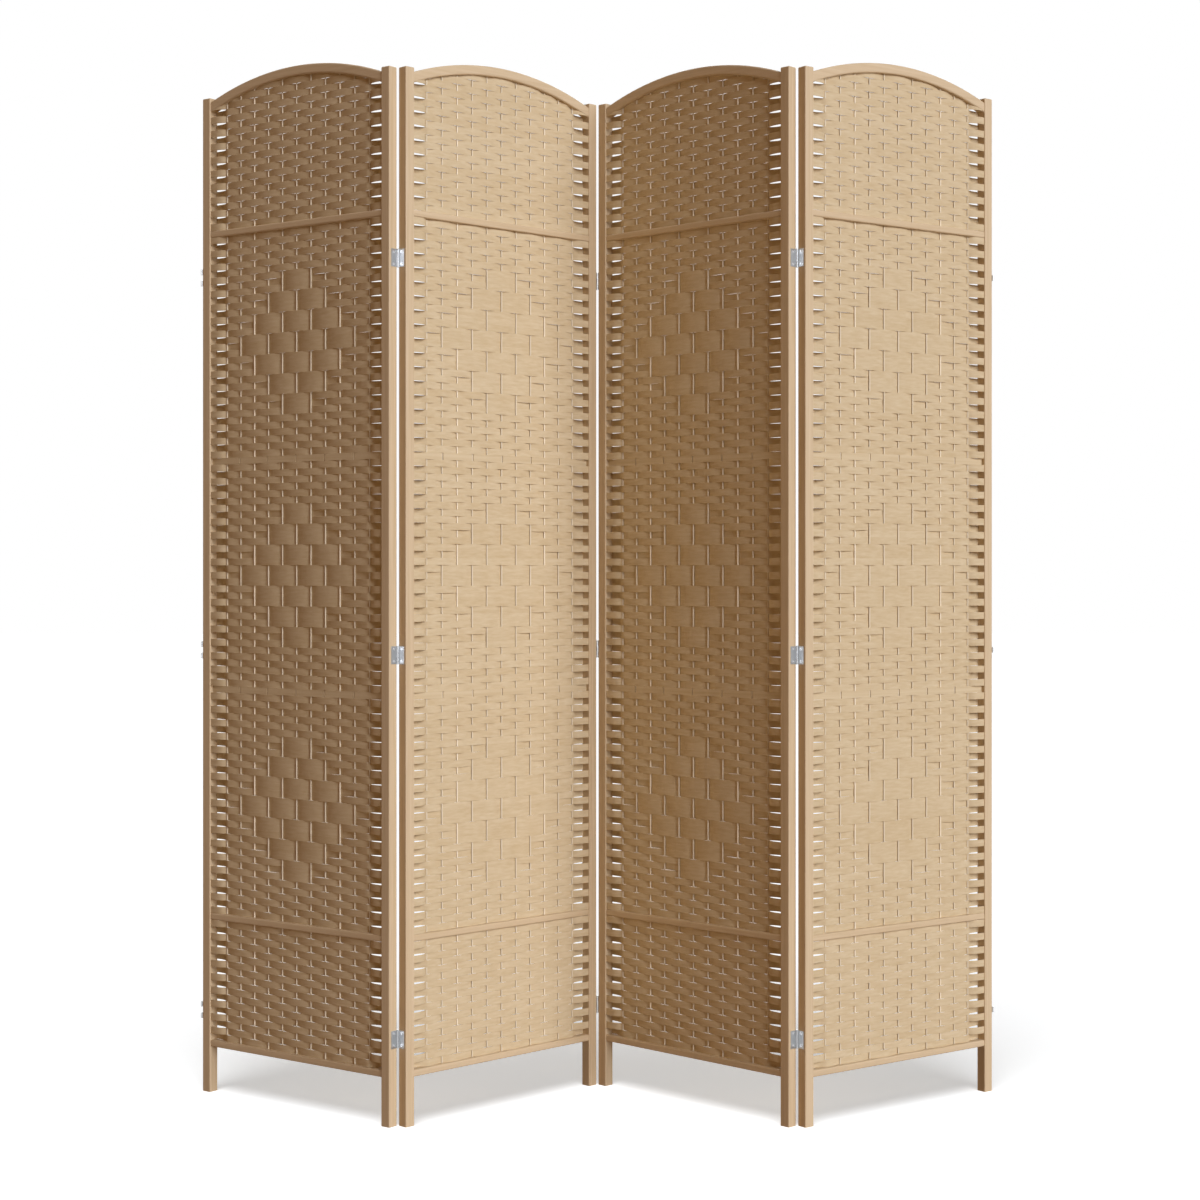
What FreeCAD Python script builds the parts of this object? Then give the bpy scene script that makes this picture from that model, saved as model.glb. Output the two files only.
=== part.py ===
import FreeCAD, Part
import math
import os

# Folding room divider of four woven panels on wooden frames, standing in a zigzag.
# All lengths are in millimetres and all angles in degrees.
# A panel is drawn in its own frame: X runs along the panel from its left end, Y from its front
# to its back with 0 in the middle of its thickness, and Z up from the floor.

# Posts
panel_width = 450.0          # over both posts
post_side = 19.0             # square section
post_height = 1770.0
post_edge_radius = 2.0       # rounded long edges
post_top_round = 1.8         # rounded edge around the top

# Rails and arch
rail_height = 11.9
rail_depth = 16.0
rail_edge_radius = 3.0
leg_clearance = 81.0         # floor to the underside of the bottom rail
lower_field = 214.2          # woven height between the bottom rail and the lower crossbar
upper_bar_drop = 249.1       # post top down to the underside of the upper crossbar
arch_end_drop = 7.0          # post top down to the top of the arch where it meets the post
arch_rise = 37.0             # peak of the arch above its ends
arch_section = 17.0          # thickness of the arch across its curve
arch_edge_flats = 4          # flats that ease each long edge of the arch

# Weave
stick_count = 11
stick_diameter = 2.6
stick_clearance = 0.1        # play of a stick in its drilled hole
seat_floor = 6.0             # wood left in the bottom rail under a stick
row_height = 11.9            # height of one woven strip
strip_thickness = 0.8
weave_clearance = 0.3        # play of a strip around a stick and under the arch
lath_height = 11.9
lath_web = 0.8               # wood left behind each notch of a lath
lath_count = 2

# Dowels between rails and posts
dowel_cover = 3.0            # wood of a rail above and below its dowels
dowel_in_rail = 12.0
dowel_clearance = 0.1

# Hinges
hinge_low_height = 145.0     # floor to the middle of the lowest hinge
hinge_mid_height = 787.0     # floor to the middle of the second hinge
hinge_top_drop = 319.0       # post top down to the middle of the highest hinge
hinge_height = 30.0
leaf_thickness = 0.8
leaf_gap = 1.0               # between the two leaves of a hinge when the panels stand in line
leaf_setback = 4.2           # free edge of a leaf to the far face of its post
fold_gap = 0.9               # between two panels folded together
knuckle_clearance = 0.35     # knuckle to the post corner and to the facing leaf
knuckle_wall = 0.8
knuckle_end_play = 0.2       # between neighbouring knuckles along the pin
pin_clearance = 0.05         # running fit of the pin in its knuckles
pin_head_overhang = 0.7
pin_head_height = 0.8

# Screws of the hinge leaves
screw_margin = 4.65          # end of a leaf to its nearest screw
screw_radius = 1.3
screw_head_radius = 2.5
screw_head_depth = 1.2       # height of the countersunk cone
screw_dome = 0.25            # crown of the head above its leaf
screw_clearance = 0.05
post_core = 1.0              # wood between the tip of a screw and the end of a dowel

# Working margins
cut_overshoot = 1.0          # how far a cutter runs past the face that it opens
round_limit = 0.9            # largest share of a corner radius that the next round may take
tiny = 1e-3

# The zigzag at rest: angle of each panel to the line of the row
outer_turn = 37.2
inner_turn = 45.06

FRONT = -1
BACK = 1
LEFT = -1
RIGHT = 1

# Sizes that follow from the ones above
half_post = post_side / 2
opening = panel_width - 2 * post_side
stick_radius = stick_diameter / 2
stick_pitch = opening / (stick_count + 1)
stick_places = [post_side + stick_pitch * (i + 1) for i in range(stick_count)]
stick_bore = stick_radius + stick_clearance
stick_seat = rail_height - seat_floor
weave_half = stick_radius + strip_thickness
lath_half = stick_radius + lath_web
flat_reach = half_post - post_edge_radius

bottom_rail_top = leg_clearance + rail_height
lower_bar_low = bottom_rail_top + lower_field
lower_bar_top = lower_bar_low + rail_height
upper_bar_low = post_height - upper_bar_drop
upper_bar_top = upper_bar_low + rail_height
third = (upper_bar_low - lower_bar_top - lath_count * lath_height) / (lath_count + 1)
third_lows = [lower_bar_top + k * (third + lath_height) for k in range(lath_count + 1)]

arch_end_top = post_height - arch_end_drop
arch_radius = ((opening / 2) ** 2 + arch_rise ** 2) / (2 * arch_rise)
arch_centre_z = arch_end_top + arch_rise - arch_radius
arch_under_radius = arch_radius - arch_section

leaf_space = 2 * leaf_thickness + leaf_gap
pin_offset = fold_gap / 2
pin_y = half_post + pin_offset
corner_x = leaf_space / 2 + post_edge_radius
corner_y = pin_offset + post_edge_radius
knuckle_radius = math.hypot(corner_x, corner_y) - post_edge_radius - knuckle_clearance
pin_bore = knuckle_radius - knuckle_wall
pin_radius = pin_bore - pin_clearance
knuckle_length = hinge_height / 3
screw_step = hinge_height / 2 - screw_margin
hinge_heights = [hinge_low_height, hinge_mid_height, post_height - hinge_top_drop]
post_bite = (post_side - post_core) / 2

UP = FreeCAD.Vector(0, 0, 1)
ALONG = FreeCAD.Vector(1, 0, 0)
ACROSS = FreeCAD.Vector(0, 1, 0)


def block(x_low, x_high, y_low, y_high, z_low, z_high):
    corner = FreeCAD.Vector(x_low, y_low, z_low)
    return Part.makeBox(x_high - x_low, y_high - y_low, z_high - z_low, corner)


def upright(radius, x, y, z_low, z_high):
    return Part.makeCylinder(radius, z_high - z_low, FreeCAD.Vector(x, y, z_low), UP)


def lengthwise(radius, x_low, x_high, z):
    return Part.makeCylinder(radius, x_high - x_low, FreeCAD.Vector(x_low, 0, z), ALONG)


def edges_along(shape, direction):
    found = []
    for edge in shape.Edges:
        if abs(abs(edge.tangentAt(edge.FirstParameter).dot(direction)) - 1) < tiny:
            found.append(edge)
    return found


def arch_height(radius, x):
    """Height of an arc about the arch's centre, at a place along the panel."""
    return arch_centre_z + math.sqrt(radius ** 2 - (x - panel_width / 2) ** 2)


def arch_arc(radius, x_from, x_to):
    ends = [FreeCAD.Vector(x, 0, arch_height(radius, x)) for x in (x_from, x_to)]
    peak = FreeCAD.Vector(panel_width / 2, 0, arch_centre_z + radius)
    return Part.Arc(ends[0], peak, ends[1]).toShape()


def line(start, end):
    return Part.LineSegment(start, end).toShape()


# Frame pieces of one panel

def dowel_heights():
    arch_end_middle = (arch_end_top + arch_height(arch_under_radius, post_side)) / 2
    rails = [leg_clearance, lower_bar_low, upper_bar_low]
    return [low + rail_height / 2 for low in rails] + [arch_end_middle]


def dowels(clearance=0.0):
    """The eight dowels of a panel, or with a clearance the holes that they sit in."""
    radius = rail_height / 2 - dowel_cover + clearance
    reach = dowel_in_rail + clearance
    bite = post_bite + clearance
    pieces = []
    for z in dowel_heights():
        pieces.append(lengthwise(radius, post_side - bite, post_side + reach, z))
        far = panel_width - post_side
        pieces.append(lengthwise(radius, far - reach, far + bite, z))
    return pieces


def post(end, side):
    x_low = 0.0 if end == LEFT else panel_width - post_side
    body = block(x_low, x_low + post_side, -half_post, half_post, 0, post_height)
    body = body.makeFillet(post_edge_radius, edges_along(body, UP))
    top = [edge for edge in body.Edges if edge.BoundBox.ZMin > post_height - tiny]
    body = body.makeFillet(min(post_top_round, round_limit * post_edge_radius), top)
    return body.cut(dowels(dowel_clearance) + screws(end, side, screw_clearance))


def rounded_section(x, z_low, z_high):
    """Cross-section of a rail: a rectangle with rounded corners."""
    half = rail_depth / 2
    radius = rail_edge_radius
    bow = radius * (1 - math.sqrt(0.5))
    corners = []
    for side, z, inward in ((-1, z_low, 1), (1, z_low, 1), (1, z_high, -1), (-1, z_high, -1)):
        upright_point = FreeCAD.Vector(x, side * half, z + inward * radius)
        middle = FreeCAD.Vector(x, side * (half - bow), z + inward * bow)
        level_point = FreeCAD.Vector(x, side * (half - radius), z)
        points = [upright_point, middle, level_point]
        corners.append(points if side * inward < 0 else points[::-1])
    edges = []
    for corner, following in zip(corners, corners[1:] + corners[:1]):
        edges.append(Part.Arc(*corner).toShape())
        edges.append(line(corner[2], following[0]))
    return Part.Face(Part.Wire(edges))


def eased_section(x, z_low, z_high):
    """Cross-section of the arch: a rectangle whose corners are eased with a few flats each."""
    half = rail_depth / 2
    points = []
    for side, z, inward in ((-1, z_low, 1), (1, z_low, 1), (1, z_high, -1), (-1, z_high, -1)):
        corner = []
        for k in range(arch_edge_flats + 1):
            turn = math.pi / 2 * k / arch_edge_flats
            y = side * (half - rail_edge_radius * (1 - math.cos(turn)))
            height = z + inward * rail_edge_radius * (1 - math.sin(turn))
            corner.append(FreeCAD.Vector(x, y, height))
        points.extend(corner if side * inward < 0 else corner[::-1])
    return Part.Face(Part.makePolygon(points + points[:1]))


def rail(z_low, z_high):
    return rounded_section(post_side, z_low, z_high).extrude(ALONG * opening)


def crossbar(z_low):
    holes = [upright(stick_bore, x, 0, z_low, z_low + rail_height) for x in stick_places]
    return rail(z_low, z_low + rail_height).cut(holes + dowels(dowel_clearance))


def bottom_rail():
    floor = bottom_rail_top - stick_seat - stick_clearance
    seats = [upright(stick_bore, x, 0, floor, bottom_rail_top) for x in stick_places]
    return rail(leg_clearance, bottom_rail_top).cut(seats + dowels(dowel_clearance))


def top_arch():
    """The bowed rail: its section turned about the arch's centre and cut upright at the posts."""
    middle = panel_width / 2
    centre = FreeCAD.Vector(middle, 0, arch_centre_z)
    peak = arch_centre_z + arch_radius
    half_turn = math.degrees(math.asin((opening / 2 + cut_overshoot) / arch_under_radius))
    section = eased_section(middle, peak - arch_section, peak)
    section.rotate(centre, ACROSS, -half_turn)
    bow = section.revolve(centre, ACROSS, 2 * half_turn)
    far = panel_width - post_side
    between = block(post_side, far, -half_post, half_post, arch_centre_z, peak + cut_overshoot)
    body = bow.common(between)
    seats = []
    for x in stick_places:
        under = arch_height(arch_under_radius, x)
        top = under + stick_seat + stick_clearance
        seats.append(upright(stick_bore, x, 0, under - cut_overshoot, top))
    return body.cut(seats + dowels(dowel_clearance))


def mid_laths():
    """Two flat laths across the weave. Sticks pass in front of them and behind them in turn."""
    laths = []
    for k in range(lath_count):
        z_low = third_lows[k] + third
        z_high = z_low + lath_height
        body = block(post_side, panel_width - post_side, -lath_half, lath_half, z_low, z_high)
        notches = []
        for i, x in enumerate(stick_places):
            side = BACK if i % 2 == 0 else FRONT
            y_open = side * lath_half
            y_seat = -side * stick_bore
            y_low = min(y_open, y_seat)
            y_high = max(y_open, y_seat)
            notches.append(block(x - stick_bore, x + stick_bore, y_low, y_high, z_low, z_high))
        laths.append(body.cut(notches))
    return laths


def warp_sticks():
    foot = bottom_rail_top - stick_seat
    sticks = []
    for x in stick_places:
        top = arch_height(arch_under_radius, x) + stick_seat
        sticks.append(upright(stick_radius, x, 0, foot, top))
    return sticks


# Woven fields. A field is the thickness that its strips fill between the outer sticks, with a
# tab for each row that runs on to the front or the back of the post.

weave_left = stick_places[0] - weave_half
weave_right = stick_places[-1] + weave_half


def row_tab(end, side, z_low, z_high):
    post_face = post_side if end == LEFT else panel_width - post_side
    root = stick_places[0] if end == LEFT else stick_places[-1]
    root_inner = -side * (weave_half - 2 * strip_thickness)
    root_outer = -side * (weave_half - strip_thickness)
    plan = [
        FreeCAD.Vector(post_face, side * flat_reach, z_low),
        FreeCAD.Vector(root, root_inner, z_low),
        FreeCAD.Vector(root, root_outer, z_low),
        FreeCAD.Vector(post_face, side * (flat_reach - strip_thickness), z_low),
    ]
    outline = Part.makePolygon(plan + plan[:1])
    return Part.Face(outline).extrude(FreeCAD.Vector(0, 0, z_high - z_low))


def woven(slab, row_lows, pitch, first_side):
    tabs = []
    for k, z_low in enumerate(row_lows):
        side = first_side if k % 2 == 0 else -first_side
        for end in (LEFT, RIGHT):
            tabs.append(row_tab(end, side, z_low, z_low + pitch))
    body = slab.multiFuse(tabs).removeSplitter()
    box = body.BoundBox
    bore = stick_radius + weave_clearance
    low = box.ZMin - cut_overshoot
    high = box.ZMax + cut_overshoot
    holes = [upright(bore, x, 0, low, high) for x in stick_places]
    return body.cut(holes)


def woven_field(z_low, z_high, last_side):
    """A field between two level rails, whose top row runs to the given side of the posts."""
    rows = max(1, round((z_high - z_low) / row_height))
    pitch = (z_high - z_low) / rows
    row_lows = [z_low + k * pitch for k in range(rows)]
    first_side = last_side if rows % 2 == 1 else -last_side
    slab = block(weave_left, weave_right, -weave_half, weave_half, z_low, z_high)
    return woven(slab, row_lows, pitch, first_side)


def woven_top():
    """The field under the arch, cut off along the arch's underside."""
    limit = arch_under_radius - weave_clearance
    arc = arch_arc(limit, weave_left, weave_right)
    low = [FreeCAD.Vector(x, 0, upper_bar_top) for x in (weave_left, weave_right)]
    sides = [line(low[i], arc.Vertexes[i].Point) for i in (0, 1)]
    edges = [arc, sides[1], line(low[1], low[0]), sides[0]]
    face = Part.Face(Part.Wire(Part.__sortEdges__(edges)))
    face.translate(FreeCAD.Vector(0, -weave_half, 0))
    slab = face.extrude(FreeCAD.Vector(0, 2 * weave_half, 0))
    rows = int((arch_height(limit, post_side) - upper_bar_top) / row_height)
    row_lows = [upper_bar_top + k * row_height for k in range(rows)]
    return woven(slab, row_lows, row_height, FRONT)


# Hinges. The pin stands in the gap between two posts, just outside their front or back faces.
# The left end of a panel carries leaves with two knuckles and the right end leaves with one.

def pin_x(end):
    return -leaf_space / 2 if end == LEFT else panel_width + leaf_space / 2


def knuckle_spans(end, z):
    half = hinge_height / 2
    play = knuckle_end_play / 2
    inner = knuckle_length / 2
    if end == RIGHT:
        return [(z - inner + play, z + inner - play)]
    return [(z - half, z - inner - play), (z + inner + play, z + half)]


def leaf_edges(side):
    """Free edge of a leaf, and its edge beside the knuckles."""
    return -side * (half_post - leaf_setback), side * (pin_y - knuckle_radius - knuckle_clearance)


def leaf_plate(end, y_from, y_to, z_low, z_high):
    x_low = -leaf_thickness if end == LEFT else panel_width
    y_low = min(y_from, y_to)
    y_high = max(y_from, y_to)
    return block(x_low, x_low + leaf_thickness, y_low, y_high, z_low, z_high)


def hinge_leaf(end, side, z):
    free_edge, knuckle_edge = leaf_edges(side)
    axis_y = side * pin_y
    half = hinge_height / 2
    plate = leaf_plate(end, free_edge, knuckle_edge, z - half, z + half)
    rolled = []
    for z_low, z_high in knuckle_spans(end, z):
        rolled.append(leaf_plate(end, free_edge, axis_y, z_low, z_high))
        rolled.append(upright(knuckle_radius, pin_x(end), axis_y, z_low, z_high))
    bore = upright(pin_bore, pin_x(end), axis_y, z - half, z + half)
    body = plate.multiFuse(rolled).removeSplitter()
    return body.cut([bore] + screws(end, side, screw_clearance))


def screw(end, y, z, clearance):
    """A crowned countersunk wood screw through a leaf, its axis along the panel."""
    rise = screw_dome + clearance
    head = screw_head_radius + clearance
    shank = screw_radius + clearance
    ball = (head ** 2 + rise ** 2) / (2 * rise)
    half_angle = math.asin(head / ball) / 2
    bow_drop = ball * (1 - math.cos(half_angle))
    crown = FreeCAD.Vector(leaf_thickness + rise, 0, 0)
    bow = crown + FreeCAD.Vector(-bow_drop, 0, ball * math.sin(half_angle))
    rim = FreeCAD.Vector(leaf_thickness, 0, head)
    neck = FreeCAD.Vector(leaf_thickness - screw_head_depth, 0, shank)
    tip_rim = FreeCAD.Vector(-post_bite - clearance, 0, shank)
    tip = FreeCAD.Vector(tip_rim.x, 0, 0)
    dome = Part.Arc(crown, bow, rim).toShape()
    flanks = [line(rim, neck), line(neck, tip_rim), line(tip_rim, tip), line(tip, crown)]
    profile = Part.Face(Part.Wire([dome] + flanks))
    body = profile.revolve(FreeCAD.Vector(0, 0, 0), ALONG, 360)
    if end == LEFT:
        body.rotate(FreeCAD.Vector(0, 0, 0), UP, 180)
    body.translate(FreeCAD.Vector(0.0 if end == LEFT else panel_width, y, z))
    return body


def screws(end, side, clearance=0.0):
    """The screws of one end of a panel, or with a clearance the holes that they sit in."""
    free_edge, knuckle_edge = leaf_edges(side)
    y = (free_edge + knuckle_edge) / 2
    pieces = []
    for z in hinge_heights:
        for step in (-screw_step, screw_step):
            pieces.append(screw(end, y, z + step, clearance))
    return pieces


def hinge_pin(end, side, z):
    half = hinge_height / 2
    x = pin_x(end)
    y = side * pin_y
    heads = [(z - half - pin_head_height, z - half), (z + half, z + half + pin_head_height)]
    shaft = upright(pin_radius, x, y, z - half, z + half)
    head_radius = pin_radius + pin_head_overhang
    return shaft.multiFuse([upright(head_radius, x, y, *span) for span in heads])


def hinge_sides(number):
    """Side of a panel that the pins at its left and its right end are on."""
    return {LEFT: FRONT, RIGHT: BACK} if number % 2 == 1 else {LEFT: BACK, RIGHT: FRONT}


def ends_of(number):
    """Each end of a panel with the side that its pins are on."""
    return hinge_sides(number).items()


def shared_pieces():
    """The pieces that are alike in all four panels."""
    thirds = [woven_field(low, low + third, FRONT) for low in third_lows]
    return {
        "top_arch": [top_arch()],
        "upper_crossbar": [crossbar(upper_bar_low)],
        "lower_crossbar": [crossbar(lower_bar_low)],
        "bottom_rail": [bottom_rail()],
        "mid_laths": mid_laths(),
        "warp_sticks": warp_sticks(),
        "rail_dowels": dowels(),
        "weave_top": [woven_top()],
        "weave_middle": thirds,
        "weave_bottom": [woven_field(bottom_rail_top, lower_bar_low, FRONT)],
    }


def own_pieces(number):
    """The pieces that depend on which side of a panel its hinges are on."""
    sides = hinge_sides(number)
    leaves = [hinge_leaf(end, side, z) for end, side in ends_of(number) for z in hinge_heights]
    return {
        "left_post": [post(LEFT, sides[LEFT])],
        "right_post": [post(RIGHT, sides[RIGHT])],
        "hinge_leaves": leaves,
        "hinge_screws": screws(LEFT, sides[LEFT]) + screws(RIGHT, sides[RIGHT]),
    }


def local_pin(number, end):
    return FreeCAD.Vector(pin_x(end), hinge_sides(number)[end] * pin_y, 0)


def hung(turn, pin, at):
    """Place of a panel that is turned about Z and has its pin at a point of the plan."""
    rotation = FreeCAD.Rotation(UP, turn)
    return FreeCAD.Placement(at - rotation.multVec(pin), rotation)


# The four panels in their zigzag, hung outwards from the middle hinge

middle_pin = FreeCAD.Vector(0, 0, 0)
places = {
    2: hung(inner_turn, local_pin(2, RIGHT), middle_pin),
    3: hung(-inner_turn, local_pin(3, LEFT), middle_pin),
}
left_pin = places[2].multVec(local_pin(2, LEFT))
right_pin = places[3].multVec(local_pin(3, RIGHT))
places[1] = hung(-outer_turn, local_pin(1, RIGHT), left_pin)
places[4] = hung(outer_turn, local_pin(4, LEFT), right_pin)

nodes = {}
alike = shared_pieces()
for number, place in places.items():
    for name, solids in {**alike, **own_pieces(number)}.items():
        group = Part.makeCompound([solid.copy() for solid in solids])
        group.Placement = place
        nodes[f"panel_{number}_{name}"] = group

# The pins between two panels stay in the two knuckles of the right-hand panel.
for number in (2, 3, 4):
    side = hinge_sides(number)[LEFT]
    pins = Part.makeCompound([hinge_pin(LEFT, side, z) for z in hinge_heights])
    pins.Placement = places[number]
    nodes[f"hinge_pins_{number - 1}_{number}"] = pins

# The origin lies on the floor under the middle of the whole screen.
outer_names = ("post", "hinge_leaves")
outer = Part.makeCompound([shape for name, shape in nodes.items() if name.endswith(outer_names)])
box = outer.optimalBoundingBox(False, False)
shift = FreeCAD.Vector(-(box.XMin + box.XMax) / 2, -(box.YMin + box.YMax) / 2, 0)

os.makedirs("parts", exist_ok=True)
for name, shape in nodes.items():
    shape.translate(shift)
    shape.exportStep(f"parts/{name}.step")

for name, pin in (("1_2", left_pin), ("2_3", middle_pin), ("3_4", right_pin)):
    axis = pin + shift
    print(f"pin axis {name}: x {axis.x:.4f} y {axis.y:.4f}")
print(f"pin offset {pin_offset:.4f}, gap between posts {leaf_space:.2f}")
print(f"row over all: {box.XLength:.2f} by {box.YLength:.2f} by {arch_end_top + arch_rise:.2f}")
print(f"{len(nodes)} nodes")
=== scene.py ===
# %% [markdown]
# A folding room divider: four arched frames of stained pine, hinged in a zigzag, each filled with
# flat paper-fibre strip woven over and under eleven upright sticks. The frames, the sticks and the
# hinges come from the CAD model and only get their finish here. The weave is made here, because it
# follows a rule, and a rule is what Geometry Nodes are good at.

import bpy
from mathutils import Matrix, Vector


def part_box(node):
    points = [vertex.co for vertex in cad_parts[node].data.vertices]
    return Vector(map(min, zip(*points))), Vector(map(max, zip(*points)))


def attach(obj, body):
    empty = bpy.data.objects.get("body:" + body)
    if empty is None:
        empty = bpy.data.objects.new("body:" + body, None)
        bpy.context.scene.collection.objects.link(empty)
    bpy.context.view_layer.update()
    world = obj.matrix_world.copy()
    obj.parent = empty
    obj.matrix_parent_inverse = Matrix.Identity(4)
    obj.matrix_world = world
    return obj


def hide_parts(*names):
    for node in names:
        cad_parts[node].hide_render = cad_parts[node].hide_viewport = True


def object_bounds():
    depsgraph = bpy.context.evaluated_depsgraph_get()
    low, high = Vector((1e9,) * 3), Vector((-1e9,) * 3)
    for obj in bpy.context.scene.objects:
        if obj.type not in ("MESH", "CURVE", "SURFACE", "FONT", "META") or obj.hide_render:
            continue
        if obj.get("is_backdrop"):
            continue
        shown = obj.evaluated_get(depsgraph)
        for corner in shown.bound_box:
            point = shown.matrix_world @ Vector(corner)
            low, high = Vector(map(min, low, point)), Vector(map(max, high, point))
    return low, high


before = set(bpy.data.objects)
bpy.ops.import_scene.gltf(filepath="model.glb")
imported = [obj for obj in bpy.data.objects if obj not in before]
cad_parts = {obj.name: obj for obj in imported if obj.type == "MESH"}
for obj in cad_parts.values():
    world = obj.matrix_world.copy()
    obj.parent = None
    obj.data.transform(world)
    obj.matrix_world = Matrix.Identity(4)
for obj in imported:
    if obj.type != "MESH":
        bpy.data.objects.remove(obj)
cad_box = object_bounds()
print("CAD box, metres:", [[round(c, 4) for c in corner] for corner in cad_box])

# %% [markdown]
# Blender counts in metres, but the sizes of a screen read better in millimetres, so one named value
# turns millimetres into metres. numpy measures many vertices at once, and mathutils turns and moves
# the panels.

# %% Modules and units
import math

import bpy
import numpy as np
from mathutils import Matrix

MM = 0.001
PANELS = (1, 2, 3, 4)
print(len(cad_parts), "CAD nodes on", len(PANELS), "panels")


# %% [markdown]
# Every panel is the same frame, hung at its own angle. It is easiest to weave one panel that lies
# straight, with its middle at the origin, and to turn the finished weave into place. The centres of
# the two posts give that place: the line between them is the panel's length.

# %% Where each panel stands
def centre(node):
    low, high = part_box(node)
    return (low + high) / 2


def panel_place(panel):
    left = centre(f"panel_{panel}_left_post")
    right = centre(f"panel_{panel}_right_post")
    along = right - left
    middle = (left + right) / 2
    turn = Matrix.Rotation(math.atan2(along.y, along.x), 4, "Z")
    return Matrix.Translation((middle.x, middle.y, 0)) @ turn


places = {panel: panel_place(panel) for panel in PANELS}
for panel, place in places.items():
    print("panel", panel, "turn", round(math.degrees(place.to_euler().z), 2), "degrees")


# %% [markdown]
# The weave has to fit the frame exactly, so its sizes are measured on the frame. A node's own box
# lies along the room, which is no use on a turned panel, so its vertices are first brought back into
# the panel's straight frame.

# %% Measure one straight panel
def straight_points(node, panel):
    back = np.array(places[panel].inverted())
    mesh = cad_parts[node].data
    points = np.empty(len(mesh.vertices) * 3, np.float32)
    mesh.vertices.foreach_get("co", points)
    return points.reshape(-1, 3) @ back[:3, :3].T + back[:3, 3]


def straight_box(node):
    points = straight_points(node, 1)
    return points.min(axis=0), points.max(axis=0)


lower_bar = straight_box("panel_1_lower_crossbar")
upper_bar = straight_box("panel_1_upper_crossbar")
bottom_rail = straight_box("panel_1_bottom_rail")
sticks = straight_box("panel_1_warp_sticks")
post_face = float(lower_bar[1][0])
lower_bar_low = float(lower_bar[0][2])
stick_radius = float(sticks[1][1])

ROWS_BETWEEN_BARS = 102
row_height = (float(upper_bar[0][2]) - lower_bar_low) / ROWS_BETWEEN_BARS
rows_below = round((lower_bar_low - float(bottom_rail[1][2])) / row_height)
print("post face", round(post_face / MM, 2), "row", round(row_height / MM, 3), "rows below", rows_below)

# %% [markdown]
# The arch is one piece of wood, cut or bent to part of a circle. The opening between the posts and
# the rise of the arch over it give the circle's radius. The strips under the arch will be cut to the
# circle of its underside.

# %% Measure the arch
AT_POST = 0.1 * MM          # a point this close to the post belongs to an end of the arch

arch = straight_points("panel_1_top_arch", 1)
arch_ends = arch[np.abs(arch[:, 0]) > post_face - AT_POST]
arch_peak = float(arch[:, 2].max())
arch_rise = arch_peak - float(arch_ends[:, 2].max())
arch_radius = (post_face ** 2 + arch_rise ** 2) / (2 * arch_rise)
arch_centre = arch_peak - arch_radius
arch_under_radius = math.hypot(post_face, float(arch_ends[:, 2].min()) - arch_centre)
rows_above = math.ceil((arch_centre + arch_under_radius - float(upper_bar[1][2])) / row_height)
print("arch radius", round(arch_radius / MM, 1), "underside", round(arch_under_radius / MM, 1))


# %% [markdown]
# Materials and node groups both need many nodes. One small function adds a node, sets it up and
# joins its inputs: an input that is another node, or one of its outputs, becomes a link, and any
# other value is typed into the socket. Colours are written as they look on a screen, in sRGB hex,
# and turned to the linear values that Blender calculates with.

# %% A helper that adds a node
MATH = "ShaderNodeMath"


def add(tree, kind, inputs=None, **settings):
    made = tree.nodes.new(kind)
    for name, value in settings.items():
        setattr(made, name, value)
    for socket, value in (inputs or {}).items():
        if isinstance(value, bpy.types.Node):
            value = value.outputs[0]
        if isinstance(value, bpy.types.NodeSocket):
            tree.links.new(value, made.inputs[socket])
        else:
            made.inputs[socket].default_value = value
    return made


def linear(hex_colour):
    channels = [int(hex_colour[i:i + 2], 16) / 255 for i in (1, 3, 5)]
    light = [c / 12.92 if c <= 0.04045 else ((c + 0.055) / 1.055) ** 2.4 for c in channels]
    return (*light, 1.0)


print("mid grey in linear light:", round(linear("#808080")[0], 3))

# %% [markdown]
# The strip is flat paper cord: thin cords of twisted brown paper laid side by side, pressed and
# glued into a band. The surface is matt, with fine lines along the band and a slightly uneven tone
# from one strip to the next. The pattern follows each strip, so it reads the attributes that the
# weave stores: the way along the strip, the way across it, and a tone for the whole strip.

# %% Flat paper cord
CORD_PITCH = 1.6 * MM       # one paper cord; real ones are about 0.8 mm, drawn coarser so they show
FLECK_LENGTH = 22 * MM      # length of a lighter or darker streak along the strip
FLECK_CORDS = 3             # cords side by side that share a streak
FLECK_SHARE = 0.85          # part of the tone that the streaks give, the rest is the whole strip's
STRIP_JUMP = 40             # moves the streaks on from one strip to the next

paper = bpy.data.materials.new("flat paper cord, pressed")
paper.use_nodes = True
tree = paper.node_tree
shader = tree.nodes["Principled BSDF"]
shader.inputs["Roughness"].default_value = 0.8
shader.inputs["Specular IOR Level"].default_value = 0.25
along = add(tree, "ShaderNodeAttribute", attribute_name="along").outputs["Fac"]
across = add(tree, "ShaderNodeAttribute", attribute_name="across").outputs["Fac"]
tone = add(tree, "ShaderNodeAttribute", attribute_name="tone").outputs["Fac"]
strip_point = add(tree, "ShaderNodeCombineXYZ", {"X": along, "Y": across, "Z": tone})
fleck_scale = (1 / FLECK_LENGTH, 1 / (FLECK_CORDS * CORD_PITCH), STRIP_JUMP)
fleck_point = add(tree, "ShaderNodeMapping", {"Vector": strip_point, "Scale": fleck_scale})
fleck = add(tree, "ShaderNodeTexNoise", {"Vector": fleck_point, "Scale": 1, "Detail": 3})
mixed_tone = add(tree, "ShaderNodeMix", {"Factor": FLECK_SHARE, "A": tone, "B": fleck})
paper_ramp = add(tree, "ShaderNodeValToRGB", {"Fac": mixed_tone})
paper_ramp.color_ramp.elements[0].position = 0.2
paper_ramp.color_ramp.elements[0].color = linear("#C8AF85")
paper_ramp.color_ramp.elements[1].position = 0.8
paper_ramp.color_ramp.elements[1].color = linear("#D9C5A0")
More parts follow.
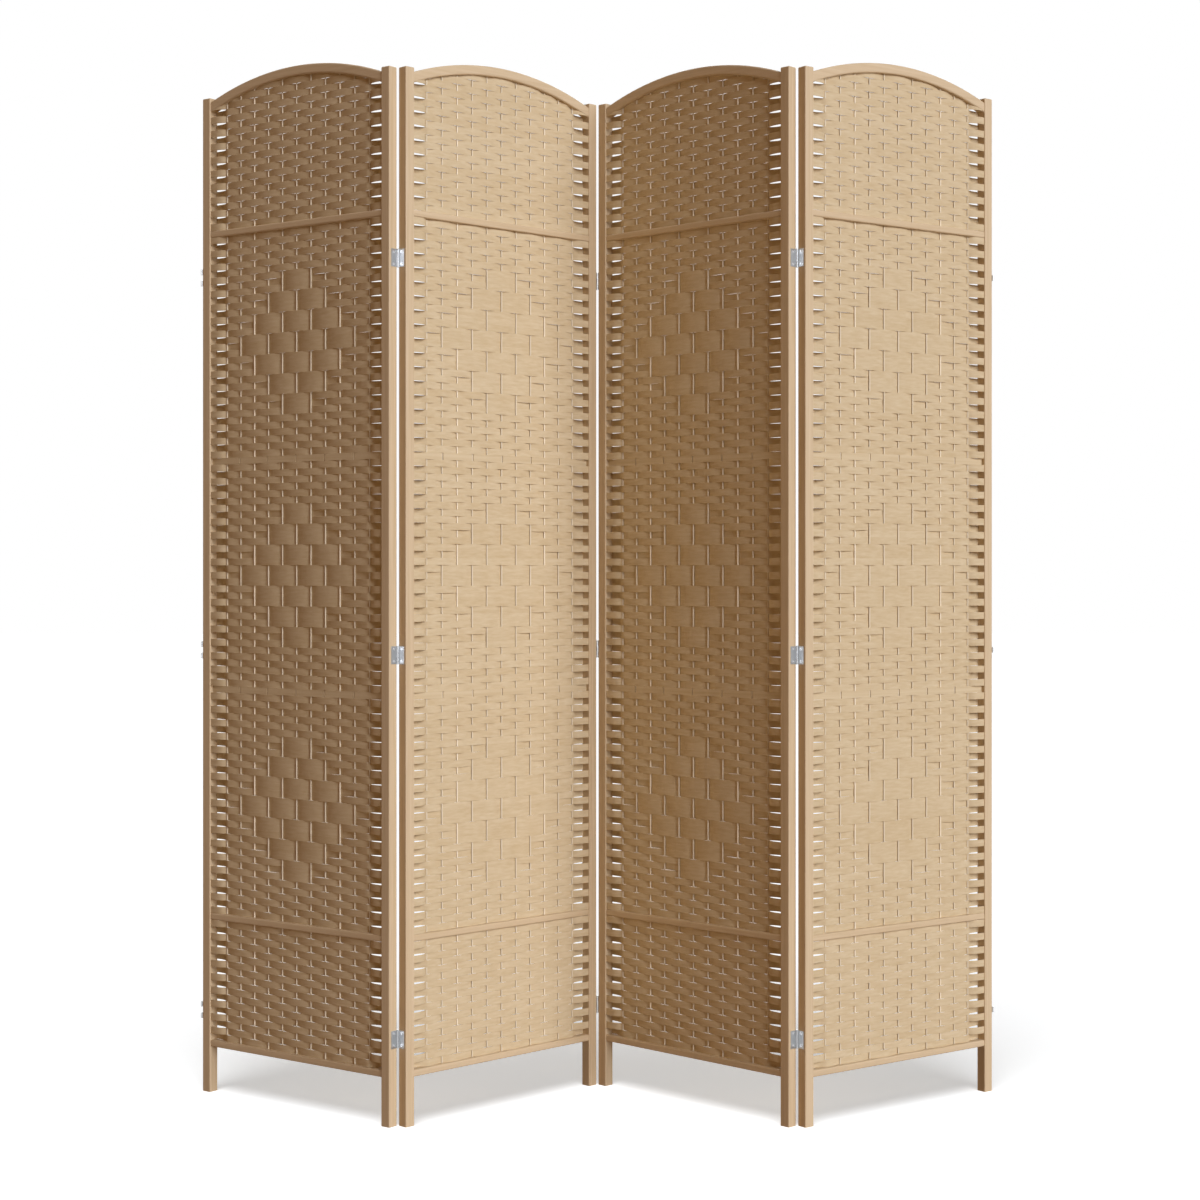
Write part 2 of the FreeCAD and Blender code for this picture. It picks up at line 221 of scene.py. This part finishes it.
tree.links.new(paper_ramp.outputs["Color"], shader.inputs["Base Color"])
cords = add(tree, MATH, {0: across, 1: 2 * math.pi / CORD_PITCH}, operation="MULTIPLY")
ribs = add(tree, MATH, {0: cords}, operation="SINE")
relief = add(tree, "ShaderNodeBump", {"Height": ribs, "Strength": 0.25, "Distance": 0.1 * MM})
tree.links.new(relief.outputs["Normal"], shader.inputs["Normal"])
print("material:", paper.name)


# %% [markdown]
# The frame is pine, planed, rounded and stained tan, then given a thin matt lacquer. Pine shows soft
# stripes along the length of each piece. The stripes come from a noise that is stretched along the
# grain: upright for the posts and sticks, and along the panel for the rails, where a Mapping node
# first turns the room's coordinates into the panel's. The two laths in the weave are toned like the
# strips, so that they hardly show among them.

# %% Stained pine
GRAIN_WIDTH = 5 * MM
GRAIN_LENGTH = 180 * MM
UPRIGHT, LENGTHWISE = 2, 0


def pine(name, dark, light, turn, grain_axis):
    wood = bpy.data.materials.new(name)
    wood.use_nodes = True
    tree = wood.node_tree
    shader = tree.nodes["Principled BSDF"]
    shader.inputs["Roughness"].default_value = 0.5
    shader.inputs["Specular IOR Level"].default_value = 0.35
    room = add(tree, "ShaderNodeTexCoord").outputs["Object"]
    straight = add(tree, "ShaderNodeMapping", {"Vector": room, "Rotation": (0, 0, -turn)})
    scale = [1 / GRAIN_WIDTH] * 3
    scale[grain_axis] = 1 / GRAIN_LENGTH
    stretched = add(tree, "ShaderNodeMapping", {"Vector": straight, "Scale": scale})
    grain = add(tree, "ShaderNodeTexNoise", {
        "Vector": stretched, "Scale": 1, "Detail": 4, "Roughness": 0.55, "Distortion": 0.3,
    })
    ramp = add(tree, "ShaderNodeValToRGB", {"Fac": grain})
    ramp.color_ramp.elements[0].position = 0.3
    ramp.color_ramp.elements[0].color = linear(dark)
    ramp.color_ramp.elements[1].position = 0.7
    ramp.color_ramp.elements[1].color = linear(light)
    tree.links.new(ramp.outputs["Color"], shader.inputs["Base Color"])
    relief = add(tree, "ShaderNodeBump", {"Height": grain, "Strength": 0.12, "Distance": 0.2 * MM})
    tree.links.new(relief.outputs["Normal"], shader.inputs["Normal"])
    return wood


def finish(node, material):
    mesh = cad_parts[node].data
    mesh.materials.clear()
    mesh.materials.append(material)


STAIN_DARK, STAIN_LIGHT = "#CAB089", "#D5BD98"
LATH_DARK, LATH_LIGHT = "#CAB289", "#D6C19B"
post_pine = pine("pine posts, stained and lacquered", STAIN_DARK, STAIN_LIGHT, 0, UPRIGHT)
for panel, place in places.items():
    turn = place.to_euler().z
    rail_name = f"pine rails {panel}, stained and lacquered"
    rail_pine = pine(rail_name, STAIN_DARK, STAIN_LIGHT, turn, LENGTHWISE)
    for piece in ("top_arch", "upper_crossbar", "lower_crossbar", "bottom_rail", "rail_dowels"):
        finish(f"panel_{panel}_{piece}", rail_pine)
    for piece in ("left_post", "right_post"):
        finish(f"panel_{panel}_{piece}", post_pine)
    lath_pine = pine(f"pine laths {panel}, stained", LATH_DARK, LATH_LIGHT, turn, LENGTHWISE)
    finish(f"panel_{panel}_mid_laths", lath_pine)
print("pine materials:", [m.name for m in bpy.data.materials if m.name.startswith("pine")])

# %% [markdown]
# The upright sticks are split from the same pine and left unstained. Their colour is partly that of the
# light wood and partly painted highlight: it is lighter than the wood alone, so that the sticks show as
# thin light lines wherever a strip passes behind them, also where no light falls on their sides. In
# every panel the third stick from either post gets a still paler colour, a painted highlight for the
# brighter line it shows from top to bottom. All the sticks of a panel are one CAD piece, so the
# material finds these two sticks by their distance from the panel's middle.

# %% Unstained pine and painted highlight for the sticks
STICK_COUNT = 11
# the sticks this far from the middle get a painted highlight, a paler colour
PAINTED_HIGHLIGHT_STICKS_OUT = 3         # sticks from the middle one to a pale one, on either side

stick_pitch = 2 * post_face / (STICK_COUNT + 1)
for panel, place in places.items():
    # painted highlight: the stick colours are lighter than the unstained wood alone, so the sticks read
    # as light lines
    stick_pine = pine(f"pine sticks {panel}, bare_with_painted_highlight", "#D9CAAC", "#E3D6BC", 0, UPRIGHT)
    tree = stick_pine.node_tree
    shader = tree.nodes["Principled BSDF"]
    common_colour = shader.inputs["Base Color"].links[0].from_socket
    room = add(tree, "ShaderNodeTexCoord").outputs["Object"]
    straight = add(tree, "ShaderNodeMapping", {
        "Vector": room, "Rotation": (0, 0, -place.to_euler().z),
        "Location": place.inverted().to_translation(),
    })
    lengthwise = add(tree, "ShaderNodeSeparateXYZ", {"Vector": straight}).outputs["X"]
    from_middle = add(tree, MATH, {0: lengthwise}, operation="ABSOLUTE")
    # painted highlight: the two sticks this far from the middle get the paler colour #F4E6CA
    is_painted_highlight = add(tree, MATH, {
        0: from_middle, 1: PAINTED_HIGHLIGHT_STICKS_OUT * stick_pitch, 2: stick_pitch / 2,
    }, operation="COMPARE")
    colour = add(tree, "ShaderNodeMix", {
        "Factor": is_painted_highlight, 6: common_colour, 7: linear("#F4E6CA"),
    }, data_type="RGBA")
    tree.links.new(colour.outputs[2], shader.inputs["Base Color"])
    finish(f"panel_{panel}_warp_sticks", stick_pine)
print("stick pitch", round(stick_pitch / MM, 2), "mm")

# %% [markdown]
# The hinges are small butt hinges of thin steel, zinc plated: pale grey, a little cloudy, and rather
# bright where they catch the light. Their screws are tumbled smooth before they are plated, so the
# heads stand out as small bright dots.

# %% Zinc-plated steel
def plated_steel(name, colour, roughness):
    steel = bpy.data.materials.new(name)
    steel.use_nodes = True
    shader = steel.node_tree.nodes["Principled BSDF"]
    shader.inputs["Base Color"].default_value = linear(colour)
    shader.inputs["Metallic"].default_value = 1.0
    shader.inputs["Roughness"].default_value = roughness
    return steel


cloudy_zinc = plated_steel("steel, zinc plated", "#B9BBBC", 0.38)
bright_zinc = plated_steel("steel screws, bright zinc", "#E2E4E6", 0.25)
hinge_nodes = [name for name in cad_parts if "hinge" in name]
for name in hinge_nodes:
    finish(name, bright_zinc if name.endswith("screws") else cloudy_zinc)
print("hinge nodes:", len(hinge_nodes))

# %% [markdown]
# Which side of a stick does a strip pass? In plain weave it goes behind every second stick, and the
# next row does the opposite. Between the crossbars there are three diamonds: there, bands of three
# rows pass the sticks on the same side, and each band is one stick wider or narrower than the last.
# This group gives the side for any row and stick: 1 is behind the stick and -1 is in front.

# %% The rule of the weave
ROWS_PER_DIAMOND = 34       # from lath to lath
ROWS_BEFORE_DIAMOND = 7
ROWS_PER_BAND = 3
DIAMOND_HALF_WIDTH = 4      # sticks each side of the middle one

rule = bpy.data.node_groups.new("side of the stick", "GeometryNodeTree")
for name in ("Row", "Stick", "Diamonds"):
    rule.interface.new_socket(name, in_out="INPUT", socket_type="NodeSocketFloat")
rule.interface.new_socket("Side", in_out="OUTPUT", socket_type="NodeSocketFloat")
given = add(rule, "NodeGroupInput").outputs
row_and_stick = add(rule, MATH, {0: given["Row"], 1: given["Stick"]}, operation="ADD")
plain_front = add(rule, MATH, {0: row_and_stick, 1: 2}, operation="FLOORED_MODULO")
print("nodes for plain weave:", len(rule.nodes))

# %% [markdown]
# Inside a diamond the band counts instead of the row. The bands widen by a stick on each side up to
# the middle of the diamond and then narrow again, and each band passes its own sticks by turns. All
# other places keep the plain weave.

# %% The rule inside a diamond
row_in_third = add(rule, MATH, {0: given["Row"], 1: ROWS_PER_DIAMOND}, operation="FLOORED_MODULO")
rows_in = add(rule, MATH, {0: row_in_third, 1: ROWS_BEFORE_DIAMOND}, operation="SUBTRACT")
bands_in = add(rule, MATH, {0: rows_in, 1: ROWS_PER_BAND}, operation="DIVIDE")
band = add(rule, MATH, {0: bands_in}, operation="FLOOR")
from_widest = add(rule, MATH, {0: band, 1: DIAMOND_HALF_WIDTH - 1}, operation="SUBTRACT")
narrowing = add(rule, MATH, {0: from_widest}, operation="ABSOLUTE")
half_width = add(rule, MATH, {0: DIAMOND_HALF_WIDTH, 1: narrowing}, operation="SUBTRACT")
from_middle = add(rule, MATH, {0: given["Stick"], 1: (STICK_COUNT + 1) / 2}, operation="SUBTRACT")
sticks_out = add(rule, MATH, {0: from_middle}, operation="ABSOLUTE")
past_edge = add(rule, MATH, {0: half_width, 1: 0.5}, operation="ADD")
in_width = add(rule, MATH, {0: sticks_out, 1: past_edge}, operation="LESS_THAN")
in_rows = add(rule, MATH, {0: half_width, 1: 0.5}, operation="GREATER_THAN")
in_both = add(rule, MATH, {0: in_width, 1: in_rows}, operation="MULTIPLY")
in_diamond = add(rule, MATH, {0: in_both, 1: given["Diamonds"]}, operation="MULTIPLY")
band_and_stick = add(rule, MATH, {0: given["Stick"], 1: half_width}, operation="ADD")
diamond_front = add(rule, MATH, {0: band_and_stick, 1: 2}, operation="FLOORED_MODULO")
front = add(rule, "ShaderNodeMix", {"Factor": in_diamond, "A": plain_front, "B": diamond_front})
side = add(rule, MATH, {0: front, 1: -2, 2: 1}, operation="MULTIPLY_ADD")
add(rule, "NodeGroupOutput", {"Side": side})
print("nodes in the weave rule:", len(rule.nodes))

# %% [markdown]
# The strips could be modelled one by one, but every panel has well over a hundred, and all follow
# the same rule. So one tree weaves them, with named inputs for its sizes. A line of points, one for
# each row, gets a straight curve at every point, which the next steps bend and give a section. Rows
# where a lath lies across the panel are left out.

# %% The tree that weaves a field
weave = bpy.data.node_groups.new("woven strips", "GeometryNodeTree")
whole_numbers = ("First Row", "Rows", "Rows per Lath", "Sticks", "Points per Stick", "Seed")
lengths = (
    "Row Height", "Row Zero", "Strip Gap", "Strip Thickness", "Post Face", "End in Post",
    "Reach at Sticks", "Reach at Posts", "Arch Centre", "Arch Radius",
)
for name in whole_numbers:
    weave.interface.new_socket(name, in_out="INPUT", socket_type="NodeSocketInt")
for name in (*lengths, "Diamonds", "Bend", "End Bend"):
    weave.interface.new_socket(name, in_out="INPUT", socket_type="NodeSocketFloat")
weave.interface.new_socket("Strip", in_out="INPUT", socket_type="NodeSocketMaterial")
weave.interface.new_socket("Weave", in_out="OUTPUT", socket_type="NodeSocketGeometry")
given = add(weave, "NodeGroupInput").outputs
print("sockets of the weaving tree:", len(weave.interface.items_tree))

# %% One straight line for every row
half_row = add(weave, MATH, {0: given["Row Height"], 1: 0.5}, operation="MULTIPLY")
zero_middle = add(weave, MATH, {0: given["Row Zero"], 1: half_row}, operation="ADD")
first_middle = add(weave, MATH, {
    0: given["First Row"], 1: given["Row Height"], 2: zero_middle,
}, operation="MULTIPLY_ADD")
start = add(weave, "ShaderNodeCombineXYZ", {"Z": first_middle})
step = add(weave, "ShaderNodeCombineXYZ", {"Z": given["Row Height"]})
all_rows = add(weave, "GeometryNodeMeshLine", {
    "Count": given["Rows"], "Start Location": start, "Offset": step,
})
number = add(weave, "GeometryNodeInputIndex")
row_number = add(weave, MATH, {0: number, 1: given["First Row"]}, operation="ADD")
row_in_third = add(weave, MATH, {
    0: row_number, 1: given["Rows per Lath"],
}, operation="FLOORED_MODULO")
at_lath = add(weave, "FunctionNodeCompare", {"A": row_in_third, "B": 0.5}, operation="LESS_THAN")
rows = add(weave, "GeometryNodeDeleteGeometry", {"Geometry": all_rows, "Selection": at_lath})
intervals = add(weave, MATH, {0: given["Sticks"], 1: 1}, operation="ADD")
point_count = add(weave, MATH, {
    0: intervals, 1: given["Points per Stick"], 2: 1,
}, operation="MULTIPLY_ADD")
straight = add(weave, "GeometryNodeCurvePrimitiveLine", {"Start": (-1, 0, 0), "End": (1, 0, 0)})
dotted = add(weave, "GeometryNodeResampleCurve", {"Curve": straight, "Count": point_count})
laid = add(weave, "GeometryNodeInstanceOnPoints", {"Points": rows, "Instance": dotted})
lines = add(weave, "GeometryNodeRealizeInstances", {"Geometry": laid})
print("nodes up to the straight lines:", len(weave.nodes))

# %% [markdown]
# A point on a curve finds its row from its own height. The height also gives the strip's length:
# under the arch a strip is cut where its lower edge meets the wood, so that its ends disappear there.

# %% Row and length of every strip
here = add(weave, "GeometryNodeInputPosition")
position = add(weave, "ShaderNodeSeparateXYZ", {"Vector": here}).outputs
above_zero = add(weave, MATH, {0: position["Z"], 1: given["Row Zero"]}, operation="SUBTRACT")
rows_up = add(weave, MATH, {0: above_zero, 1: given["Row Height"]}, operation="DIVIDE")
row = add(weave, MATH, {0: rows_up}, operation="FLOOR")
low_edge = add(weave, MATH, {0: position["Z"], 1: half_row}, operation="SUBTRACT")
over_centre = add(weave, MATH, {0: low_edge, 1: given["Arch Centre"]}, operation="SUBTRACT")
edge_squared = add(weave, MATH, {0: over_centre, 1: 2}, operation="POWER")
radius_squared = add(weave, MATH, {0: given["Arch Radius"], 1: 2}, operation="POWER")
room_squared = add(weave, MATH, {0: radius_squared, 1: edge_squared}, operation="SUBTRACT")
room_or_none = add(weave, MATH, {0: room_squared, 1: 0}, operation="MAXIMUM")
to_arch = add(weave, MATH, {0: room_or_none}, operation="SQRT")
to_frame = add(weave, MATH, {0: to_arch, 1: given["Post Face"]}, operation="MINIMUM")
half_length = add(weave, MATH, {0: to_frame, 1: given["End in Post"]}, operation="ADD")
x = add(weave, MATH, {0: position["X"], 1: half_length}, operation="MULTIPLY")
print("nodes up to the length:", len(weave.nodes))

# %% [markdown]
# A stiff strip doesn't run in even waves. It lies flat where it passes over a stick and dips sharply
# to get behind the next. At the posts the ends lie by turns at the front and at the back, which
# leaves the slits that let light through, and a strip gets to that depth soon after the last stick.
# Two powers of the way from stick to stick give both bends.

# %% Bend every strip around the sticks
left_face = add(weave, MATH, {0: given["Post Face"], 1: -1}, operation="MULTIPLY")
share = add(weave, "ShaderNodeMapRange", {
    "Value": x, "From Min": left_face, "From Max": given["Post Face"],
    "To Min": 0, "To Max": intervals,
})
whole_share = add(weave, MATH, {0: share}, operation="FLOOR")
stick_before = add(weave, MATH, {0: whole_share, 1: given["Sticks"]}, operation="MINIMUM")
stick_after = add(weave, MATH, {0: stick_before, 1: 1}, operation="ADD")
last_stick = add(weave, MATH, {0: given["Sticks"], 1: 0.5}, operation="SUBTRACT")
from_left_post = add(weave, MATH, {0: stick_before, 1: 0.5}, operation="LESS_THAN")
to_right_post = add(weave, MATH, {0: stick_before, 1: last_stick}, operation="GREATER_THAN")
sides = []
offsets = []
for stick, at_post in ((stick_before, from_left_post), (stick_after, to_right_post)):
    passing = add(weave, "GeometryNodeGroup", node_tree=rule)
    for name, value in (("Row", row), ("Stick", stick)):
        weave.links.new(value.outputs[0], passing.inputs[name])
    weave.links.new(given["Diamonds"], passing.inputs["Diamonds"])
    reach = add(weave, "ShaderNodeMix", {
        "Factor": at_post, "A": given["Reach at Sticks"], "B": given["Reach at Posts"],
    })
    sides.append(passing)
    offsets.append(add(weave, MATH, {0: passing, 1: reach}, operation="MULTIPLY"))
print("nodes up to the depth at each stick:", len(weave.nodes))

# %% Flat over a stick, a sharp dip behind one, and soon at full depth on the way to a post
at_either_post = add(weave, MATH, {0: from_left_post, 1: to_right_post}, operation="ADD")
bend = add(weave, "ShaderNodeMix", {
    "Factor": at_either_post, "A": given["Bend"], "B": given["End Bend"],
})
part = add(weave, MATH, {0: share, 1: stick_before}, operation="SUBTRACT")
rest = add(weave, MATH, {0: 1, 1: part}, operation="SUBTRACT")
late = add(weave, MATH, {0: part, 1: bend}, operation="POWER")
rest_late = add(weave, MATH, {0: rest, 1: bend}, operation="POWER")
early = add(weave, MATH, {0: 1, 1: rest_late}, operation="SUBTRACT")
to_behind = add(weave, MATH, {0: sides[1], 1: to_right_post}, operation="SUBTRACT")
to_behind_or_from_post = add(weave, MATH, {0: to_behind, 1: from_left_post}, operation="MAXIMUM")
bends_late = add(weave, MATH, {0: to_behind_or_from_post, 1: 0.5}, operation="GREATER_THAN")
eased = add(weave, "ShaderNodeMix", {"Factor": bends_late, "A": early, "B": late})
y = add(weave, "ShaderNodeMix", {"Factor": eased, "A": offsets[0], "B": offsets[1]})
bent_point = add(weave, "ShaderNodeCombineXYZ", {"X": x, "Y": y, "Z": position["Z"]})
bent = add(weave, "GeometryNodeSetPosition", {"Geometry": lines, "Position": bent_point})
print("nodes up to the bent lines:", len(weave.nodes))

# %% [markdown]
# The paper material reads three attributes, so they are stored with the strips. The tone is a random
# value for each row, with a seed that gives every panel its own. The way along comes from the curve,
# and the way across from the section that is swept along it.

# %% Note tone and distances for the paper material
strip_tone = add(weave, "FunctionNodeRandomValue", {
    "ID": row, "Seed": given["Seed"],
}, data_type="FLOAT")
toned = add(weave, "GeometryNodeStoreNamedAttribute", {
    "Geometry": bent, "Name": "tone", "Value": strip_tone.outputs[1],
})
distance = add(weave, "GeometryNodeSplineParameter").outputs["Length"]
measured = add(weave, "GeometryNodeStoreNamedAttribute", {
    "Geometry": toned, "Name": "along", "Value": distance,
})
upright = add(weave, "GeometryNodeSetCurveNormal", {"Curve": measured}, mode="Z_UP")
print("nodes up to the attributes:", len(weave.nodes))

# %% [markdown]
# The section is a thin upright rectangle with broken corners, as the pressed edge of the band has.
# Curve to Mesh sweeps it along every strip and closes the ends. The faces are shaded smooth, so that
# the bends look soft, but the long edges stay crisp.

# %% Give the strips their flat section
BROKEN_EDGE = 0.3           # of the strip's thickness
CRISP_ANGLE = math.radians(30)

strip_height = add(weave, MATH, {0: given["Row Height"], 1: given["Strip Gap"]}, operation="SUBTRACT")
flat = add(weave, "GeometryNodeCurvePrimitiveQuadrilateral", {
    "Width": given["Strip Thickness"], "Height": strip_height,
})
broken = add(weave, MATH, {0: given["Strip Thickness"], 1: BROKEN_EDGE}, operation="MULTIPLY")
section = add(weave, "GeometryNodeFilletCurve", {
    "Curve": flat, "Count": 1, "Radius": broken,
}, mode="POLY")
here = add(weave, "GeometryNodeInputPosition")
section_point = add(weave, "ShaderNodeSeparateXYZ", {"Vector": here})
profile = add(weave, "GeometryNodeStoreNamedAttribute", {
    "Geometry": section, "Name": "across", "Value": section_point.outputs["Y"],
})
strips = add(weave, "GeometryNodeCurveToMesh", {
    "Curve": upright, "Profile Curve": profile, "Fill Caps": True,
})
print("nodes up to the swept strips:", len(weave.nodes))

# %% Keep the strips' edges crisp and finish the tree
edge_angle = add(weave, "GeometryNodeInputMeshEdgeAngle").outputs["Unsigned Angle"]
corner = add(weave, "FunctionNodeCompare", {
    "A": edge_angle, "B": CRISP_ANGLE,
}, operation="GREATER_THAN")
smooth = add(weave, "GeometryNodeSetShadeSmooth", {"Geometry": strips, "Shade Smooth": True})
crisp = add(weave, "GeometryNodeSetShadeSmooth", {
    "Geometry": smooth, "Selection": corner, "Shade Smooth": False,
}, domain="EDGE")
joined = add(weave, "GeometryNodeRealizeInstances", {"Geometry": crisp})
finished = add(weave, "GeometryNodeSetMaterial", {"Geometry": joined, "Material": given["Strip"]})
add(weave, "NodeGroupOutput", {"Weave": finished})
print("nodes in the weaving tree:", len(weave.nodes))


# %% [markdown]
# Three fields are woven on each panel: under the arch, between the crossbars and above the bottom
# rail. A helper object carries the tree, each field's numbers go in by the sockets' identifiers, and
# the result is kept as a plain mesh that is turned into its panel.

# %% Weave the fields
STRIP_THICKNESS = 0.8 * MM
STRIP_GAP = -0.25 * MM      # less than none: the edges of two strips overlap a little
END_IN_POST = 1.0 * MM
STICK_SLACK = 0.4 * MM      # the strip is stiff and does not lie tight against the sticks
STRIP_BEND = 2.2            # 1 is straight from stick to stick, more is flat with sharper dips
END_BEND = 4.0              # the same between the last stick and the post
POINTS_PER_STICK = 8
EVERY_LENGTH_FITS = 10.0    # an arch so large that it cuts nothing

field_reach = float(straight_box("panel_1_weave_bottom")[1][1])
sockets = {item.name: item.identifier for item in weave.interface.items_tree if item.in_out == "INPUT"}
common = {
    "Rows per Lath": ROWS_PER_DIAMOND, "Sticks": STICK_COUNT, "Points per Stick": POINTS_PER_STICK,
    "Row Height": row_height, "Row Zero": lower_bar_low, "Strip Gap": STRIP_GAP,
    "Strip Thickness": STRIP_THICKNESS, "Post Face": post_face, "End in Post": END_IN_POST,
    "Reach at Sticks": stick_radius + STICK_SLACK + STRIP_THICKNESS / 2,
    "Reach at Posts": field_reach - STRIP_THICKNESS / 2,
    "Arch Centre": arch_centre, "Arch Radius": EVERY_LENGTH_FITS, "Diamonds": 0.0,
    "Bend": STRIP_BEND, "End Bend": END_BEND, "Strip": paper,
}
fields = {
    "bottom": {"First Row": -rows_below, "Rows": rows_below},
    "middle": {"First Row": 1, "Rows": ROWS_BETWEEN_BARS - 1, "Diamonds": 1.0},
    "top": {"First Row": ROWS_BETWEEN_BARS + 1, "Rows": rows_above, "Arch Radius": arch_under_radius},
}


def woven(name, numbers):
    loom = bpy.data.objects.new("loom", bpy.data.meshes.new("loom"))
    bpy.context.scene.collection.objects.link(loom)
    modifier = loom.modifiers.new("weave", "NODES")
    modifier.node_group = weave
    for socket, value in {**common, **numbers}.items():
        modifier[sockets[socket]] = value
    evaluated = loom.evaluated_get(bpy.context.evaluated_depsgraph_get())
    mesh = bpy.data.meshes.new_from_object(evaluated)
    mesh.name = name
    bpy.data.objects.remove(loom)
    return mesh


for panel, place in places.items():
    for field, numbers in fields.items():
        name = f"woven_{field}_{panel}"
        mesh = woven(name, {**numbers, "Seed": panel})
        mesh.transform(place)
        piece = bpy.data.objects.new(name, mesh)
        bpy.context.scene.collection.objects.link(piece)
        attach(piece, f"panel_{panel}")
        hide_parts(f"panel_{panel}_weave_{field}")
        print(name, len(mesh.polygons), "faces")

# %% [markdown]
# The photograph was taken level, from in front of the middle hinge, at about breast height and some
# four metres away. A level camera keeps the posts upright in the picture. Its frame is moved down a
# little by a lens shift, as with a view camera, instead of tilting it.

# %% Camera
PHOTO_SIDE = 1200           # pixels
FOCAL_LENGTH = 2272.4       # pixels
SHIFT_RIGHT, SHIFT_DOWN = 2.6, 28    # pixels
SENSOR = 36.0               # millimetres
CAMERA_DISTANCE = 3.8       # metres in front of the two near hinges
CAMERA_HEIGHT = 0.926

camera_data = bpy.data.cameras.new("camera")
camera_data.sensor_width = SENSOR
camera_data.lens = FOCAL_LENGTH / PHOTO_SIDE * SENSOR
camera_data.shift_x = SHIFT_RIGHT / PHOTO_SIDE
camera_data.shift_y = -SHIFT_DOWN / PHOTO_SIDE
camera = bpy.data.objects.new("camera", camera_data)
camera.location = (0, centre("hinge_pins_1_2").y - CAMERA_DISTANCE, CAMERA_HEIGHT)
camera.rotation_euler = (math.radians(90), 0, 0)
bpy.context.scene.collection.objects.link(camera)
bpy.context.scene.camera = camera
print("lens", round(camera_data.lens, 2), "mm, camera at", [round(c, 3) for c in camera.location])


# %% [markdown]
# The floor is white paper that runs on into the background. A faint glow, for the camera and for
# reflections alone, lifts it to pure white, and the shadow behind the screen stays a soft grey. For
# all other rays the paper is a dull warm tone, so that it doesn't flood the panels with light from
# below.

# %% Floor
FLOOR_GLOW = 0.46
FLOOR_REACH = 30.0          # metres from the middle to an edge
floor_paper = bpy.data.materials.new("floor, white studio paper")
floor_paper.use_nodes = True
tree = floor_paper.node_tree
tree.nodes.clear()
path = add(tree, "ShaderNodeLightPath").outputs
seen = add(tree, MATH, {0: path["Is Camera Ray"], 1: path["Is Glossy Ray"]}, operation="MAXIMUM")
white_ray = add(tree, MATH, {0: seen, 1: path["Is Transmission Ray"]}, operation="MAXIMUM")
paper_colour = add(tree, "ShaderNodeMix", {
    "Factor": white_ray, 6: linear("#8A6A4C"), 7: linear("#E5E7E9"),
}, data_type="RGBA")
matt = add(tree, "ShaderNodeBsdfDiffuse", {"Color": paper_colour.outputs[2]})
glow_strength = add(tree, MATH, {0: white_ray, 1: FLOOR_GLOW}, operation="MULTIPLY")
glow = add(tree, "ShaderNodeEmission", {"Color": (1, 1, 1, 1), "Strength": glow_strength})
both = add(tree, "ShaderNodeAddShader", {0: matt, 1: glow})
add(tree, "ShaderNodeOutputMaterial", {"Surface": both})

quarters = ((-1, -1), (1, -1), (1, 1), (-1, 1))
corners = [(side_x * FLOOR_REACH, side_y * FLOOR_REACH, 0) for side_x, side_y in quarters]
floor_mesh = bpy.data.meshes.new("floor")
floor_mesh.from_pydata(corners, [], [(0, 1, 2, 3)])
floor_mesh.materials.append(floor_paper)
floor = bpy.data.objects.new("floor", floor_mesh)
bpy.context.scene.collection.objects.link(floor)
floor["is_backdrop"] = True
print("floor:", 2 * FLOOR_REACH, "metres across")

# %% [markdown]
# The light is a large cool key from the right, which falls almost squarely on every second panel, and
# a weak warm fill from the left, so that the panels turned away from the key stay brown instead of
# grey. A third light from behind shows the back when the screen is seen from there. Suns with a wide
# angle are used instead of lamps near the screen: their light is as strong on the first panel as on
# the last. Light linking gives the floor a sun of its own and keeps the others off it, so that it has
# one soft shadow, as in the photograph.

# %% Studio light
floor_only = bpy.data.collections.new("floor only")
all_but_floor = bpy.data.collections.new("all but the floor")
for group, state in ((floor_only, "INCLUDE"), (all_but_floor, "EXCLUDE")):
    group.objects.link(floor)
    group.collection_objects[0].light_linking.link_state = state


def soft_sun(name, azimuth, elevation, softness, strength, colour, receivers):
    """Azimuth is measured from straight in front to the right, elevation from the floor."""
    sun_data = bpy.data.lights.new(name, "SUN")
    sun_data.angle = math.radians(softness)
    sun_data.energy = strength
    sun_data.color = linear(colour)[:3]
    sun = bpy.data.objects.new(name, sun_data)
    sun.rotation_euler = (math.radians(90 - elevation), 0, math.radians(azimuth))
    sun.light_linking.receiver_collection = receivers
    bpy.context.scene.collection.objects.link(sun)


soft_sun("key", 43, 18, 40, 3.3, "#F0F3FF", all_but_floor)
soft_sun("fill", -60, 12, 120, 0.42, "#FFB050", all_but_floor)
soft_sun("back", 180, 25, 50, 1.4, "#FFFFFF", all_but_floor)
soft_sun("floor", -5, 62, 36, 2.6, "#FFFFFF", floor_only)
print("suns:", [light.name for light in bpy.data.lights])

# %% [markdown]
# The background is plain white. The world is white where the camera sees it, and where it shows in a
# reflection, but gives the screen only a little light, because the suns do the lighting.

# %% White surroundings
AMBIENT = 0.03
world = bpy.data.worlds.new("studio")
world.use_nodes = True
bpy.context.scene.world = world
tree = world.node_tree
tree.nodes.clear()
path = add(tree, "ShaderNodeLightPath").outputs
seen = add(tree, MATH, {0: path["Is Camera Ray"], 1: path["Is Glossy Ray"]}, operation="MAXIMUM")
white_ray = add(tree, MATH, {0: seen, 1: path["Is Transmission Ray"]}, operation="MAXIMUM")
strength = add(tree, "ShaderNodeMapRange", {"Value": white_ray, "To Min": AMBIENT, "To Max": 1.0})
background = add(tree, "ShaderNodeBackground", {"Color": (1, 1, 1, 1), "Strength": strength})
add(tree, "ShaderNodeOutputWorld", {"Surface": background})
print("world:", world.name)

# %% [markdown]
# Last, the Standard view transform shows every colour as it is written. The box around the dressed
# screen is measured again and printed beside the CAD model's.

# %% Colours as written, and the boxes
bpy.context.scene.view_settings.view_transform = "Standard"
boxes = {"cad": cad_box, "visual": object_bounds()}
for name, box in boxes.items():
    print(name, "box, metres:", [[round(c, 4) for c in corner] for corner in box])
